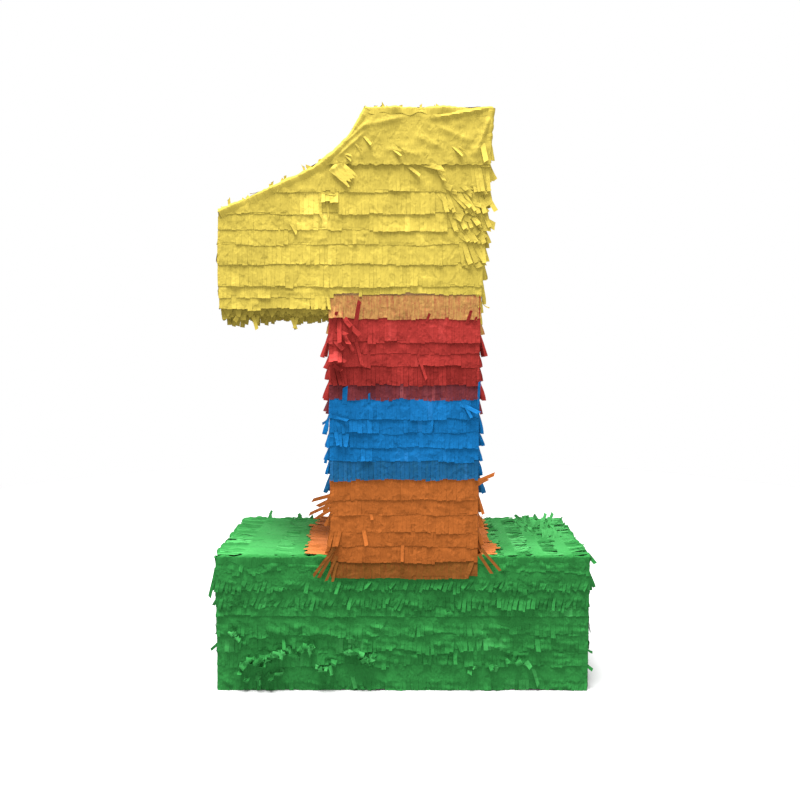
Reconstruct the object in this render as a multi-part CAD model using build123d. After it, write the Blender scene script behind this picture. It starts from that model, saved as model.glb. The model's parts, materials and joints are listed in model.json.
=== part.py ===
from build123d import *
import os

# A figure "1" pinata. Two flat cardboard panels are joined by cardboard edge strips into a hollow
# shell, and every outside face is covered in overlapping rows of fringed tissue paper. A square
# flap cut in the back panel swings out on a crease, to let sweets in.
#
# Millimetres. X runs to the right of the figure, Y to its back and Z up. The origin is at the
# middle of the resting face.

# Overall size, over the tissue paper
WIDTH = 356.0
DEPTH = 150.0
HEIGHT = 543.0

# Sheet goods
BOARD = 3.0  # corrugated cardboard
PAPER = 0.2  # one strip of fringed tissue
BOTTOM_PAPER = 0.4  # the folded sheet that the figure stands on
BOTTOM_GAP = 0.1  # between that sheet and the cardboard
PAPER_GAP = 0.3  # between the cardboard and the glued edge of a strip
RISE = 1.2  # how much further out a strip's loose edge stands than its glued edge
SKIN = PAPER_GAP + RISE + PAPER  # room for the tissue on each face of the cardboard
LAP = 8.0  # how far a strip runs up behind the strip above it

# The cardboard outline, X and Z
BASE_X = WIDTH / 2 - SKIN
BASE_BOTTOM = BOTTOM_PAPER + BOTTOM_GAP
BASE_TOP = 130.0
STEM_LEFT = -67.0
STEM_RIGHT = 70.0
STEM_BEND = 352.0  # height at which the right edge begins to lean outwards
FLAG_BOTTOM = 366.0
TOP = HEIGHT - PAPER_GAP - PAPER
TOP_RIGHT = 80.0
TOP_LEFT = -33.0
TIP_BOTTOM = (-163.0, FLAG_BOTTOM)
TIP_TOP = (-166.5, 449.2)
SLOPE_BEND = (-92.0, 483.4)  # the slope is straight up to here, then curves up to the top
SLOPE_CORNER = 6.0  # how far the slope's strip takes in the corner at each of its ends

# Depth of the cardboard
FACE_Y = DEPTH / 2 - SKIN
WALL_Y = FACE_Y - BOARD

# The flap in the back panel
FLAP_SIZE = 90.0
FLAP_X = 10.0  # middle
FLAP_TOP = 500.0
FLAP_GAP = 1.0  # cut line round the flap
CREASE_ROOM = 3.0  # bare cardboard each side of the crease, so that the tissue clears it

# The plate that spreads the pull of the hanging cord, under the top
HANG_PLATE = (64.0, 60.0)
HANG_X = 5.0
HANG_SPACING = 30.0
HANG_RADIUS = 3.0
PAPER_HOLE_RADIUS = 4.0
HOLE_CUTTER = 12.0  # length of the rods that cut these holes, half above the cardboard's top

# Heights of the loose lower edges of the rows, from the top down
TOP_SHEET_EDGE = 493.0
YELLOW_EDGES = (469.0, 449.0, 435.0, 422.0, 404.0, 384.0, 374.0, 364.0)
YELLOW_OVER_RED_EDGE = 354.5
RED_EDGES = (333.0, 323.0, 311.0, 293.0)
RED_OVER_BLUE_EDGE = 280.0
BLUE_EDGES = (262.0, 249.0, 235.0, 222.0)
BLUE_OVER_ORANGE_EDGE = 204.0
ORANGE_EDGES = (185.0, 171.0, 155.0, 140.0, 125.5)
ORANGE_OVER_GREEN_EDGE = 111.0
GREEN_BAND_EDGE = 116.0
GREEN_EDGES = (97.0, 81.0, 73.0, 54.0, 39.0, 24.0, 1.0)

# Strips that lie on the base's top face, beside the stem
BESIDE_STEM = SKIN + PAPER_GAP
TOP_ROW_PITCH = 27.0
ORANGE_REACH_LEFT = 26.0
ORANGE_REACH_RIGHT = 19.0
ORANGE_LIFT = 1.8  # the orange strips lie on the green ones

# Tissue under the flag
UNDER_FRINGE_DROP = 12.0
UNDER_FRINGE_Y = (-66.0, 0.0, 66.0)
UNDER_COVER_GAP = 0.6


def slab(face, near, far):
    """A face drawn as X and Z, made solid from Y = near to Y = far."""
    return extrude(Plane.XZ.offset(-near) * face, far - near, dir=(0, 1, 0))


def rectangle(left, right, bottom, top):
    return Pos((left + right) / 2, (bottom + top) / 2) * Rectangle(right - left, top - bottom)


def outline():
    """The figure 1 as a flat face: all straight but for the curved part of the slope."""
    bend = Vector(*SLOPE_BEND)
    top_left = Vector(TOP_LEFT, TOP)
    edges = Polyline(
        bend,
        TIP_TOP,
        TIP_BOTTOM,
        (STEM_LEFT, FLAG_BOTTOM),
        (STEM_LEFT, BASE_TOP),
        (-BASE_X, BASE_TOP),
        (-BASE_X, BASE_BOTTOM),
        (BASE_X, BASE_BOTTOM),
        (BASE_X, BASE_TOP),
        (STEM_RIGHT, BASE_TOP),
        (STEM_RIGHT, STEM_BEND),
        (TOP_RIGHT, TOP),
        top_left,
    )
    curve = TangentArc(bend, top_left, tangent=bend - Vector(*TIP_TOP))
    return make_face([edges, curve])


def flap_rectangle(margin, top_margin):
    """The flap's square, larger all round by margin and at the crease by top_margin."""
    half = FLAP_SIZE / 2 + margin
    return rectangle(
        FLAP_X - half, FLAP_X + half, FLAP_TOP - FLAP_SIZE - margin, FLAP_TOP + top_margin
    )


def edge_strips(figure):
    """The cardboard walls between the panels, cut from one ring so that their ends just meet."""
    ring = figure - offset(figure, -BOARD, kind=Kind.INTERSECTION)
    bottom = BASE_BOTTOM + BOARD
    shoulder = BASE_TOP - BOARD
    under = FLAG_BOTTOM + BOARD
    tip_end = TIP_TOP[1] - SLOPE_CORNER
    ceiling = TOP - BOARD
    stem_foot = rectangle(STEM_RIGHT - BOARD, STEM_RIGHT, shoulder, BASE_TOP)
    regions = {
        "base_bottom_strip": rectangle(-BASE_X, BASE_X, BASE_BOTTOM, bottom),
        "base_left_strip": rectangle(-BASE_X, -BASE_X + BOARD, bottom, BASE_TOP),
        "base_right_strip": rectangle(BASE_X - BOARD, BASE_X, bottom, BASE_TOP),
        "base_top_left_strip": rectangle(-BASE_X + BOARD, STEM_LEFT, shoulder, BASE_TOP),
        "base_top_right_strip": rectangle(STEM_RIGHT, BASE_X - BOARD, shoulder, BASE_TOP),
        "stem_left_strip": rectangle(STEM_LEFT, STEM_LEFT + BOARD, shoulder, under),
        "right_side_strip": stem_foot + rectangle(STEM_RIGHT - BOARD, TOP_RIGHT, BASE_TOP, ceiling),
        "flag_underside_strip": rectangle(TIP_TOP[0], STEM_LEFT, FLAG_BOTTOM, under),
        "flag_tip_strip": rectangle(TIP_TOP[0], STEM_LEFT, under, tip_end),
        "flag_slope_strip": rectangle(TIP_TOP[0], TOP_LEFT + SLOPE_CORNER, tip_end, ceiling),
        "top_strip": rectangle(TOP_LEFT - BOARD, TOP_RIGHT, ceiling, TOP),
    }
    return {name: slab(ring & region, -WALL_Y, WALL_Y) for name, region in regions.items()}


def cord_holes(radius):
    """Two upright rods that cut the holes for the hanging cord."""
    rod = Cylinder(radius, HOLE_CUTTER)
    return [Pos(HANG_X + side * HANG_SPACING / 2, 0, TOP) * rod for side in (-1, 1)]


def cardboard(figure):
    parts = edge_strips(figure)
    parts["top_strip"] -= cord_holes(HANG_RADIUS)
    parts["front_panel"] = slab(figure, -FACE_Y, -WALL_Y)
    parts["back_panel"] = slab(figure - flap_rectangle(FLAP_GAP, FLAP_GAP), WALL_Y, FACE_Y)
    parts["fill_flap"] = slab(flap_rectangle(0, 0), WALL_Y, FACE_Y)
    plate_top = TOP - BOARD
    plate = Pos(HANG_X, 0, plate_top - BOARD / 2) * Box(*HANG_PLATE, BOARD)
    parts["hang_plate"] = plate - cord_holes(HANG_RADIUS)
    return parts


def strip_profile(low, high):
    """Four corners of a leaning strip, as distance out from the cardboard and height."""
    loose = PAPER_GAP + RISE
    return [(PAPER_GAP, high), (loose, low), (loose + PAPER, low), (PAPER_GAP + PAPER, high)]


def face_strip(left, right, low, high, side, clip):
    """A strip on the front (side -1) or back (side 1) panel, cut to the figure's outline."""
    corners = [(side * (FACE_Y + out), z) for out, z in strip_profile(low, high)]
    profile = make_face(Polyline(*corners, close=True))
    strip = extrude(Plane.YZ.offset(left) * profile, right - left, dir=(1, 0, 0))
    return strip & clip


def side_strip(low, high, side, edge_x):
    """A strip on a left (side -1) or right (side 1) wall. edge_x gives the wall's X at a height."""
    corners = [(edge_x(z) + side * out, z) for out, z in strip_profile(low, high)]
    return slab(make_face(Polyline(*corners, close=True)), -WALL_Y, WALL_Y)


def between(start, end):
    """X at a height on the straight line between two points of the outline."""
    return lambda z: start[0] + (end[0] - start[0]) * (z - start[1]) / (end[1] - start[1])


def right_edge(z):
    """X of the stem's and flag's right edge, which leans outwards above its bend."""
    if z < STEM_BEND:
        return STEM_RIGHT
    return between((STEM_RIGHT, STEM_BEND), (TOP_RIGHT, TOP))(z)


def spans(top, edges):
    """The lowest and highest height of each row: it starts a lap above the row before it."""
    starts = (top,) + tuple(edges[:-1])
    return [(low, start + LAP) for start, low in zip(starts, edges)]


def flag_row(low, high, prism):
    """Front, back, right side and, where it is that low, tip side of one yellow row."""
    ceiling = min(high, TOP)
    strips = [face_strip(TIP_TOP[0], TOP_RIGHT, low, ceiling, side, prism) for side in (-1, 1)]
    strips.append(side_strip(low, ceiling, 1, right_edge))
    if low < TIP_TOP[1]:
        tip_top = min(high, TIP_TOP[1] - SKIN)
        if tip_top - low > LAP:
            strips.append(side_strip(low, tip_top, -1, between(TIP_BOTTOM, TIP_TOP)))
    return strips


def stem_row(low, high, prism):
    """Front, back, left side and right side of one row round the stem."""
    strips = [face_strip(STEM_LEFT, right_edge(high), low, high, side, prism) for side in (-1, 1)]
    floor = max(low, BASE_TOP + SKIN)
    ceiling = FLAG_BOTTOM - SKIN
    if high < FLAG_BOTTOM:
        ceiling -= LAP
    if high - floor > LAP:
        strips.append(side_strip(floor, high, 1, right_edge))
        strips.append(side_strip(floor, min(high, ceiling), -1, lambda z: STEM_LEFT))
    return strips


def base_row(low, high, prism, split):
    """All four sides of one green row. A split row leaves room for the orange one on its face."""
    wide = ((-BASE_X, BASE_X),)
    beside_stem = ((-BASE_X, STEM_LEFT - BESIDE_STEM), (STEM_RIGHT + BESIDE_STEM, BASE_X))
    strips = [
        face_strip(left, right, low, high, side, prism)
        for side in (-1, 1)
        for left, right in (beside_stem if split else wide)
    ]
    strips += [side_strip(low, high, side, lambda z, s=side: s * BASE_X) for side in (-1, 1)]
    return strips


def numbered(colour, rows):
    return {f"{colour}_row_{number}": row for number, row in enumerate(rows, start=1)}


def yellow_rows(prism):
    rows = [flag_row(low, high, prism) for low, high in spans(TOP_SHEET_EDGE, YELLOW_EDGES)]
    parts = numbered("yellow", rows)
    last = YELLOW_EDGES[-1]
    parts["yellow_over_red_row"] = stem_row(YELLOW_OVER_RED_EDGE, last + LAP, prism)
    return parts


def stem_rows(prism):
    """The red, blue and orange rows, each colour with a last row that overlaps the next one."""
    zones = (
        ("red", YELLOW_OVER_RED_EDGE, RED_EDGES, "red_over_blue_row", RED_OVER_BLUE_EDGE),
        ("blue", RED_OVER_BLUE_EDGE, BLUE_EDGES, "blue_over_orange_row", BLUE_OVER_ORANGE_EDGE),
        ("orange", BLUE_OVER_ORANGE_EDGE, ORANGE_EDGES, "orange_over_green_row", ORANGE_OVER_GREEN_EDGE),
    )
    parts = {}
    for colour, top, edges, last_name, last_edge in zones:
        rows = [stem_row(low, high, prism) for low, high in spans(top, edges)]
        parts.update(numbered(colour, rows))
        parts[last_name] = stem_row(last_edge, edges[-1] + LAP, prism)
    return parts


def green_rows(prism):
    rows = [base_row(low, high, prism, False) for low, high in spans(GREEN_BAND_EDGE, GREEN_EDGES)]
    parts = numbered("green", rows)
    parts["green_band"] = base_row(GREEN_BAND_EDGE, BASE_TOP, prism, True)
    return parts


def lying_strip(inner, outer, lift):
    """A strip on the base's top face. It is glued at its inner X and loose at its outer X."""
    corners = [
        (inner, BASE_TOP + lift),
        (outer, BASE_TOP + lift + RISE),
        (outer, BASE_TOP + lift + RISE + PAPER),
        (inner, BASE_TOP + lift + PAPER),
    ]
    return slab(make_face(Polyline(*corners, close=True)), -WALL_Y, WALL_Y)


def base_top_rows(side, stem_x):
    """Green strips across the base's top face, from beside the stem out to the base's end."""
    inner = abs(stem_x) + BESIDE_STEM
    room = BASE_X - inner - LAP
    count = round(room / TOP_ROW_PITCH)
    pitch = room / count
    starts = [inner + pitch * number for number in range(count)]
    return [lying_strip(side * start, side * (start + pitch + LAP), PAPER_GAP) for start in starts]


def orange_patches():
    """The orange fringe that turns outwards from the foot of the stem, one strip a side."""
    left = STEM_LEFT - BESIDE_STEM
    right = STEM_RIGHT + BESIDE_STEM
    return [
        lying_strip(left, left - ORANGE_REACH_LEFT, ORANGE_LIFT),
        lying_strip(right, right + ORANGE_REACH_RIGHT, ORANGE_LIFT),
    ]


def top_sheet(prism):
    """The plain sheet folded over the top, with its two cord holes."""
    top = slab(rectangle(TOP_LEFT, TOP_RIGHT, TOP + PAPER_GAP, TOP + PAPER_GAP + PAPER), -FACE_Y, FACE_Y)
    falls = [face_strip(TIP_TOP[0], TOP_RIGHT, TOP_SHEET_EDGE, TOP, side, prism) for side in (-1, 1)]
    side = side_strip(TOP_SHEET_EDGE, TOP, 1, right_edge)
    return [top - cord_holes(PAPER_HOLE_RADIUS), *falls, side]


def slope_cover(figure):
    """Tissue over the slope, as one sheet that follows its straight and its curved part."""
    outer = offset(figure, PAPER_GAP + PAPER, kind=Kind.INTERSECTION)
    inner = offset(figure, PAPER_GAP, kind=Kind.INTERSECTION)
    region = rectangle(TIP_TOP[0] - SKIN, TOP_LEFT - SKIN, TIP_TOP[1] + SKIN, TOP)
    return [slab((outer - inner) & region, -FACE_Y, FACE_Y)]


def underside_fringe():
    """The sheet under the flag, and the fringes that hang from it."""
    top = FLAG_BOTTOM - UNDER_COVER_GAP
    left = TIP_BOTTOM[0]
    right = STEM_LEFT - BESIDE_STEM
    cover = slab(rectangle(left, right, top - PAPER, top), -WALL_Y, WALL_Y)
    drop = rectangle(left, right, top - PAPER - UNDER_FRINGE_DROP, top - PAPER)
    return [cover] + [slab(drop, y, y + PAPER) for y in UNDER_FRINGE_Y]


def bottom_cover():
    """The sheet that the figure stands on."""
    return [slab(rectangle(-BASE_X, BASE_X, 0, BOTTOM_PAPER), -FACE_Y, FACE_Y)]


def cut_flap_tissue(rows):
    """Cut the rows round the flap, and return the pieces that swing with it."""
    around = slab(flap_rectangle(FLAP_GAP, CREASE_ROOM), WALL_Y, DEPTH)
    on_flap = slab(flap_rectangle(-FLAP_GAP, -CREASE_ROOM), WALL_Y, DEPTH)
    flap_pieces = []
    for name, strips in rows.items():
        kept = []
        for strip in strips:
            reach = strip.bounding_box()
            crosses = reach.max.Y > FACE_Y + PAPER_GAP and reach.max.Z > FLAP_TOP - FLAP_SIZE
            if not crosses or reach.size.X < FLAP_SIZE:
                kept.append(strip)
                continue
            flap_pieces += (strip & on_flap).solids()
            kept += (strip - around).solids()
        rows[name] = kept
    return flap_pieces


def tissue(figure):
    prism = slab(figure, -DEPTH, DEPTH)
    parts = yellow_rows(prism)
    parts["yellow_top_sheet"] = top_sheet(prism)
    parts["flap_rows"] = cut_flap_tissue(parts)
    parts["slope_cover"] = slope_cover(figure)
    parts["underside_fringe"] = underside_fringe()
    parts.update(stem_rows(prism))
    parts.update(green_rows(prism))
    parts["green_top_rows_left"] = base_top_rows(-1, STEM_LEFT)
    parts["green_top_rows_right"] = base_top_rows(1, STEM_RIGHT)
    parts["orange_base_patches"] = orange_patches()
    parts["bottom_cover"] = bottom_cover()
    solids = {name: [s for strip in strips for s in strip.solids()] for name, strips in parts.items()}
    return {name: Compound(children=found) for name, found in solids.items()}


def main():
    os.makedirs("parts", exist_ok=True)
    figure = outline()
    for name, shape in {**cardboard(figure), **tissue(figure)}.items():
        export_step(shape, f"parts/{name}.step")


if __name__ == "__main__":
    main()
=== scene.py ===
import json
import math

import bpy
import numpy as np
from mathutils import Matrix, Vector


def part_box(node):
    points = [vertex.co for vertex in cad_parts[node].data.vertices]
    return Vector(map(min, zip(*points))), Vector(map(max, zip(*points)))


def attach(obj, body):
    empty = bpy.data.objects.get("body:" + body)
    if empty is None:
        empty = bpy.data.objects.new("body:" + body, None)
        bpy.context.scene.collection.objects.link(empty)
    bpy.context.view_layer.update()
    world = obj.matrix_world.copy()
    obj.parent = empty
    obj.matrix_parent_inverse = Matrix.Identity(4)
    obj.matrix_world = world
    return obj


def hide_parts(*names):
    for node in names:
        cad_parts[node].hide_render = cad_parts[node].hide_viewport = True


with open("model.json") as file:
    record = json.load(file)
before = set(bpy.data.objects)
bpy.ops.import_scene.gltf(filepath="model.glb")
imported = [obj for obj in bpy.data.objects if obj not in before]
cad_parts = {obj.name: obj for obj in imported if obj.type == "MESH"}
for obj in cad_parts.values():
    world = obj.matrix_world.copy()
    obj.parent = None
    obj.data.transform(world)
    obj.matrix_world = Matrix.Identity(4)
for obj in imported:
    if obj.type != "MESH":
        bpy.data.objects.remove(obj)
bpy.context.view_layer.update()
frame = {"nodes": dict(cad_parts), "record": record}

# The looks of a figure "1" pinata. Each row of tissue is one mesh of fringed strips that stands for
# a plain CAD strip. Lengths are in millimetres up to PaperMesh.build, which makes the objects in
# metres.
MM = 0.001


def span(node):
    """Lowest and highest corner of a CAD node, in millimetres."""
    low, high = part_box(node)
    return np.array(low) / MM, np.array(high) / MM


# ---------------------------------------------------------------- sizes read from the frame
PANEL_LOW, PANEL_HIGH = span("front_panel")
FRONT = PANEL_LOW[1]
BACK = span("back_panel")[1][1]
DEPTH = BACK - FRONT
BOARD = PANEL_HIGH[1] - PANEL_LOW[1]
BASE_X = PANEL_HIGH[0]
TOP = PANEL_HIGH[2]
SHOULDER = span("base_top_left_strip")[1][2]
STEM_LEFT = span("stem_left_strip")[0][0]
STEM_RIGHT = span("right_side_strip")[0][0] + BOARD
TOP_RIGHT = span("right_side_strip")[1][0]
UNDER = span("flag_underside_strip")[0][2]
TIP_BOTTOM = np.array([span("flag_underside_strip")[0][0], UNDER])
TIP_TOP = np.array([span("flag_slope_strip")[0][0], span("slope_cover")[0][2]])
TOP_LEFT = np.array([span("slope_cover")[1][0] + 1.7, TOP])
FLAP_LOW, FLAP_HIGH = span("fill_flap")

# The right edge is upright up to STEM_BEND, and the slope is straight from the tip to SLOPE_BEND
STEM_BEND = 352.0
SLOPE_BEND = np.array([-92.0, 483.4])
CREASE_ROOM = 3.0  # bare board on each side of the flap's crease
FLAP_GAP = 1.2  # room between the flap and the rows round it
TIP_BULGE = 4.0  # how far the paper stands off the flag's end, low down
FLOOR_ROOM = 0.4  # the paper's lowest height

UP = np.array([0.0, 0.0, 1.0])
DOWN = -UP
RIGHT = np.array([1.0, 0.0, 0.0])
LEFT = -RIGHT
AWAY = np.array([0.0, 1.0, 0.0])
NEAR = -AWAY
FACES = ((FRONT, NEAR), (BACK, AWAY))


def add_object(name, data):
    made = bpy.data.objects.new(name, data)
    bpy.context.collection.objects.link(made)
    return made


# ---------------------------------------------------------------- camera
LENS = 37.35
SENSOR_WIDTH = 36.0
CAMERA_AT = (-0.0024, -0.8405, 0.3554)
CAMERA_PITCH = 5.64


def make_camera():
    data = bpy.data.cameras.new("camera")
    data.lens = LENS
    data.sensor_width = SENSOR_WIDTH
    camera = add_object("camera", data)
    camera.location = CAMERA_AT
    camera.rotation_euler = (math.radians(90 - CAMERA_PITCH), 0, 0)
    bpy.context.scene.camera = camera


make_camera()


# ---------------------------------------------------------------- outline helpers
def unit(vector):
    return np.asarray(vector, float) / np.linalg.norm(vector)


def right_edge(z):
    lean = (TOP_RIGHT - STEM_RIGHT) / (TOP - STEM_BEND)
    return STEM_RIGHT + np.maximum(np.asarray(z) - STEM_BEND, 0) * lean


def tip_edge(z):
    """The paper at the flag's end stands off the board towards the bottom."""
    share = (z - TIP_BOTTOM[1]) / (TIP_TOP[1] - TIP_BOTTOM[1])
    return TIP_BOTTOM[0] + share * (TIP_TOP[0] - TIP_BOTTOM[0]) - TIP_BULGE * np.clip(1.6 * (1 - share), 0, 1)


class Slope:
    """The slope from the top left corner down to the tip: an arc, then a straight run."""

    def __init__(self):
        self.run = unit(SLOPE_BEND - TIP_TOP)
        inward = np.array([-self.run[1], self.run[0]])
        chord = TOP_LEFT - SLOPE_BEND
        self.radius = chord @ chord / (2 * chord @ inward)
        self.middle = SLOPE_BEND + inward * self.radius
        first = TOP_LEFT - self.middle
        last = SLOPE_BEND - self.middle
        self.angle = math.atan2(first[1], first[0])
        self.turn = self.angle - math.atan2(last[1], last[0])
        self.arc = self.radius * self.turn
        self.length = self.arc + np.linalg.norm(SLOPE_BEND - TIP_TOP)

    def at(self, distance):
        """Point, direction down the slope and outward normal, all in 3-D at the middle of the depth."""
        if distance < self.arc:
            angle = self.angle - distance / self.radius
            out = np.array([math.cos(angle), math.sin(angle)])
            point, down, out = self.middle + out * self.radius, np.array([out[1], -out[0]]), -out
        else:
            point = SLOPE_BEND - self.run * (distance - self.arc)
            down, out = -self.run, np.array([-self.run[1], self.run[0]])
        return tuple(np.array([v[0], 0, v[1]]) for v in (point, down, out))

    def height(self, x):
        """Z of the slope at each X, and TOP to its right."""
        x = np.asarray(x, float)
        straight = TIP_TOP[1] + (x - TIP_TOP[0]) * self.run[1] / self.run[0]
        inside = np.clip(self.radius**2 - (x - self.middle[0]) ** 2, 0, None)
        curved = self.middle[1] - np.sqrt(inside)
        return np.where(x < SLOPE_BEND[0], straight, np.where(x < TOP_LEFT[0], curved, TOP))


SLOPE = Slope()


# ---------------------------------------------------------------- random fields
def seeded(name, number=0):
    """A random generator of its own for each strip, the same in every run."""
    return np.random.default_rng([sum(ord(c) * (i + 1) for i, c in enumerate(name)), number])


class Field:
    """A smooth random field with a spread of one, whose features are about size wide."""

    def __init__(self, rng, size, dimensions=3, count=9):
        directions = rng.normal(size=(dimensions, count))
        directions /= np.linalg.norm(directions, axis=0)
        self.directions = directions * rng.uniform(0.6, 1.6, count) * 2 * math.pi / size
        self.phases = rng.uniform(0, 2 * math.pi, count)
        self.scale = math.sqrt(2 / count)

    def __call__(self, place):
        return np.sin(np.asarray(place, float) @ self.directions + self.phases).sum(-1) * self.scale


FOLDS = Field(seeded("folds"), 52.0)
CREASES = Field(seeded("creases"), 24.0)
DIMPLES = Field(seeded("dimples"), 9.0)
CLOUDS = Field(seeded("clouds"), 55.0)
CLOUD_SHARE = 0.4


def crumple(place):
    """Height of the crumpled paper, mostly between 0 and 1. All layers share it, so they nest."""
    folds, creases = (1 - np.abs(field(place)) for field in (FOLDS, CREASES))
    height = 0.45 * folds + 0.35 * creases + 0.14 * DIMPLES(place)
    return 0.5 * (height + np.sqrt(height**2 + 0.03))


# ---------------------------------------------------------------- paper meshes
class Wall:
    """A flat place for one strip. Its own directions are across, down and out."""

    def __init__(self, top_middle, down, out, width):
        self.origin = np.asarray(top_middle, float)
        self.down = unit(down)
        self.out = unit(out)
        self.across = np.cross(self.out, self.down)
        self.width = width

    def world(self, local):
        return self.origin + local @ np.array([self.across, self.down, self.out])

    def crumple(self, across, down):
        return crumple(self.world(np.stack([across, down, np.zeros_like(across)], axis=-1)))


SHARP = math.radians(50)  # edges that bend more than this are shaded sharp


class PaperMesh:
    """Collects the strips of paper that stand for one node, and makes one object of them."""

    def __init__(self, node):
        self.node = node
        self.points = []
        self.faces = []
        self.tones = []
        self.grains = []
        self.count = 0
        self.flat_area = 0.0

    def rng(self, number, tag=""):
        """A random generator for the strip with this number."""
        return seeded(self.node + tag, number)

    def add(self, points, tone, grain):
        """Adds points in world millimetres. Returns their numbers, in the points' own layout."""
        layout = points.shape[:-1]
        self.points.append(points.reshape(-1, 3))
        self.tones.append(np.broadcast_to(tone, layout).astype(float).ravel())
        self.grains.append(np.broadcast_to(grain, (*layout, 2)).reshape(-1, 2))
        numbers = self.count + np.arange(int(np.prod(layout))).reshape(layout)
        self.count += numbers.size
        return numbers

    def quads(self, grid, keep=None):
        """Faces between neighbours in a grid of point numbers, for the kept columns."""
        cells = np.stack([grid[:-1, :-1], grid[1:, :-1], grid[1:, 1:], grid[:-1, 1:]], axis=-1)
        self.faces.append((cells if keep is None else cells[:, keep]).reshape(-1, 4))

    def finger_quads(self, rows):
        """Faces of many fingers, from point numbers in (finger, step, left-middle-right)."""
        for side in (0, 1):
            corners = [rows[:, :-1, side], rows[:, 1:, side], rows[:, 1:, side + 1], rows[:, :-1, side + 1]]
            self.faces.append(np.stack(corners, axis=-1).reshape(-1, 4))

    def build(self, name, material):
        faces = np.concatenate(self.faces)
        used, faces = np.unique(faces, return_inverse=True)
        points = np.concatenate(self.points)[used] * MM
        points[:, 2] = np.maximum(points[:, 2], FLOOR_ROOM * MM)
        mesh = bpy.data.meshes.new(name)
        mesh.from_pydata(points.tolist(), [], faces.reshape(-1, 4).tolist())
        tone = mesh.attributes.new("tone", "FLOAT", "POINT")
        tone.data.foreach_set("value", np.concatenate(self.tones)[used].astype(np.float32))
        grain = mesh.attributes.new("grain", "FLOAT_VECTOR", "POINT")
        flat = np.pad(np.concatenate(self.grains)[used], ((0, 0), (0, 1))).astype(np.float32)
        grain.data.foreach_set("vector", flat.ravel())
        mesh.materials.append(material)
        mesh.shade_smooth()
        mesh.set_sharp_from_angle(angle=SHARP)
        return add_object(name, mesh)


class Style:
    """How a fringed strip is cut and how its fingers lie. Angles are in degrees."""

    finger = 3.9
    clump = 5.0
    lift = 1.0
    lift_spread = 0.8
    sway = 0.0
    sway_spread = 0.35
    curl = 2.0
    curl_spread = 4.0
    twist_spread = 2.0
    ragged = 0.3
    clump_ragged = 0.6
    wave = 0.25
    stray = 0.012
    slim = 0.985
    wrinkle = 0.45
    stack = 0.035
    facing = 0.0
    tone_spread = 0.6

    def __init__(self, **changes):
        self.__dict__.update(changes)

    def but(self, **changes):
        """The same style with a few changes."""
        return Style(**{**vars(self), **changes})


class Tuft:
    """Fingers near one place in a strip that lie their own way. The place is across the strip."""

    def __init__(self, at, width, **changes):
        self.at = at
        self.width = width
        self.changes = changes


def finger_values(rng, style, middles):
    """Random but partly shared values for each finger, as a dict of arrays."""
    count = len(middles)
    clump = np.cumsum(rng.random(count) < 1 / style.clump)

    def shared(spread, own=0.3):
        return (rng.normal(size=clump[-1] + 1)[clump] + own * rng.normal(size=count)) * spread

    slow = Field(rng, 70.0, 1, 5)(middles[:, None])
    values = {
        "length": shared(style.clump_ragged, 0) + rng.normal(size=count) * style.ragged + style.wave * slow,
        "lift": np.abs(style.lift + shared(style.lift_spread)),
        "sway": style.sway + shared(style.sway_spread),
        "curl": style.curl + shared(style.curl_spread),
        "bend": shared(style.sway_spread),
        "twist": shared(style.twist_spread, 0.8),
        "tone": shared(style.tone_spread, 0.8),
        "slim": np.full(count, style.slim),
        "cup": rng.normal(size=count) * 0.02,
        "skew": rng.normal(size=count) * 0.15,
        "heading": np.zeros(count),
    }
    stray = rng.random(count) < style.stray
    values["lift"] += stray * rng.uniform(4, 25, count)
    for name, spread in (("sway", 10), ("curl", 45), ("twist", 25)):
        values[name] += stray * rng.normal(size=count) * spread
    return values


def apply_tufts(rng, values, middles, tufts):
    """Gives the fingers inside each tuft the tuft's own values."""
    for tuft in tufts:
        inside = np.abs(middles - tuft.at) < tuft.width / 2
        count = inside.sum()
        for name, value in tuft.changes.items():
            if name == "shorter":
                values["length"][inside] -= value * (1 + 0.3 * rng.normal(size=count))
            elif name == "slim":
                values[name][inside] = value
            elif name == "mess":
                for messy in ("sway", "curl", "twist", "bend"):
                    values[messy][inside] += value * rng.normal(size=count)
            else:
                values[name][inside] = value * (1 + 0.35 * rng.normal(size=count))


STEPS = 9  # along each finger
LOWEST_LIFT = -10.0
MOST_OUT = 10.0  # how far a finger may rise above its root


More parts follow.
